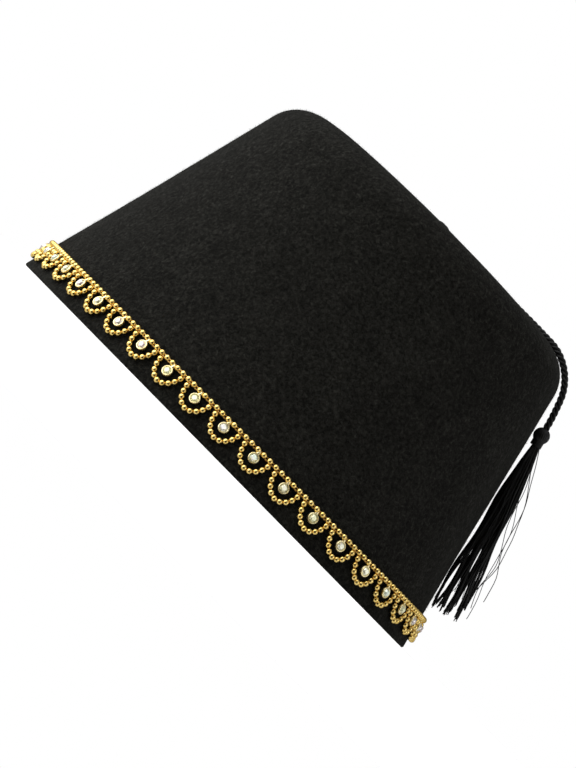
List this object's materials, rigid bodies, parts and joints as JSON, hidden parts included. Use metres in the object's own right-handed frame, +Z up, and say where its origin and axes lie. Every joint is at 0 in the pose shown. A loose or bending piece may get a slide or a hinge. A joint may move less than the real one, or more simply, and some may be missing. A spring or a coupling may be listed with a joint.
{
  "type": "fez hat with a scalloped bead trim and a tassel",
  "caption": "Tapered felt hat with a flat top and an open oval mouth, a scalloped trim of gold beads and clear stones round the mouth, and a tassel on a cord from the middle of the top.",
  "frame": {"origin": "middle of the mouth, in the plane of its cut edge, which is the plane that the hat stands on", "axes": "+Z up through the crown, -Y towards the wearer's face and +X towards the wearer's left"},
  "size_m": [0.1756, 0.204, 0.1145],
  "materials": {
    "felt": "matt black felt with a short fuzz",
    "gold": "polished yellow gold plating",
    "stone": "clear faceted stone with a pale iridescent coat",
    "cord": "black rayon cord with a low sheen"
  },
  "bodies": {
    "root": {"felt_crown": "felt", "bead_trim": "gold", "top_knot": "cord", "tassel_cord": "cord", "tassel": "cord"}
  },
  "joints": []
}
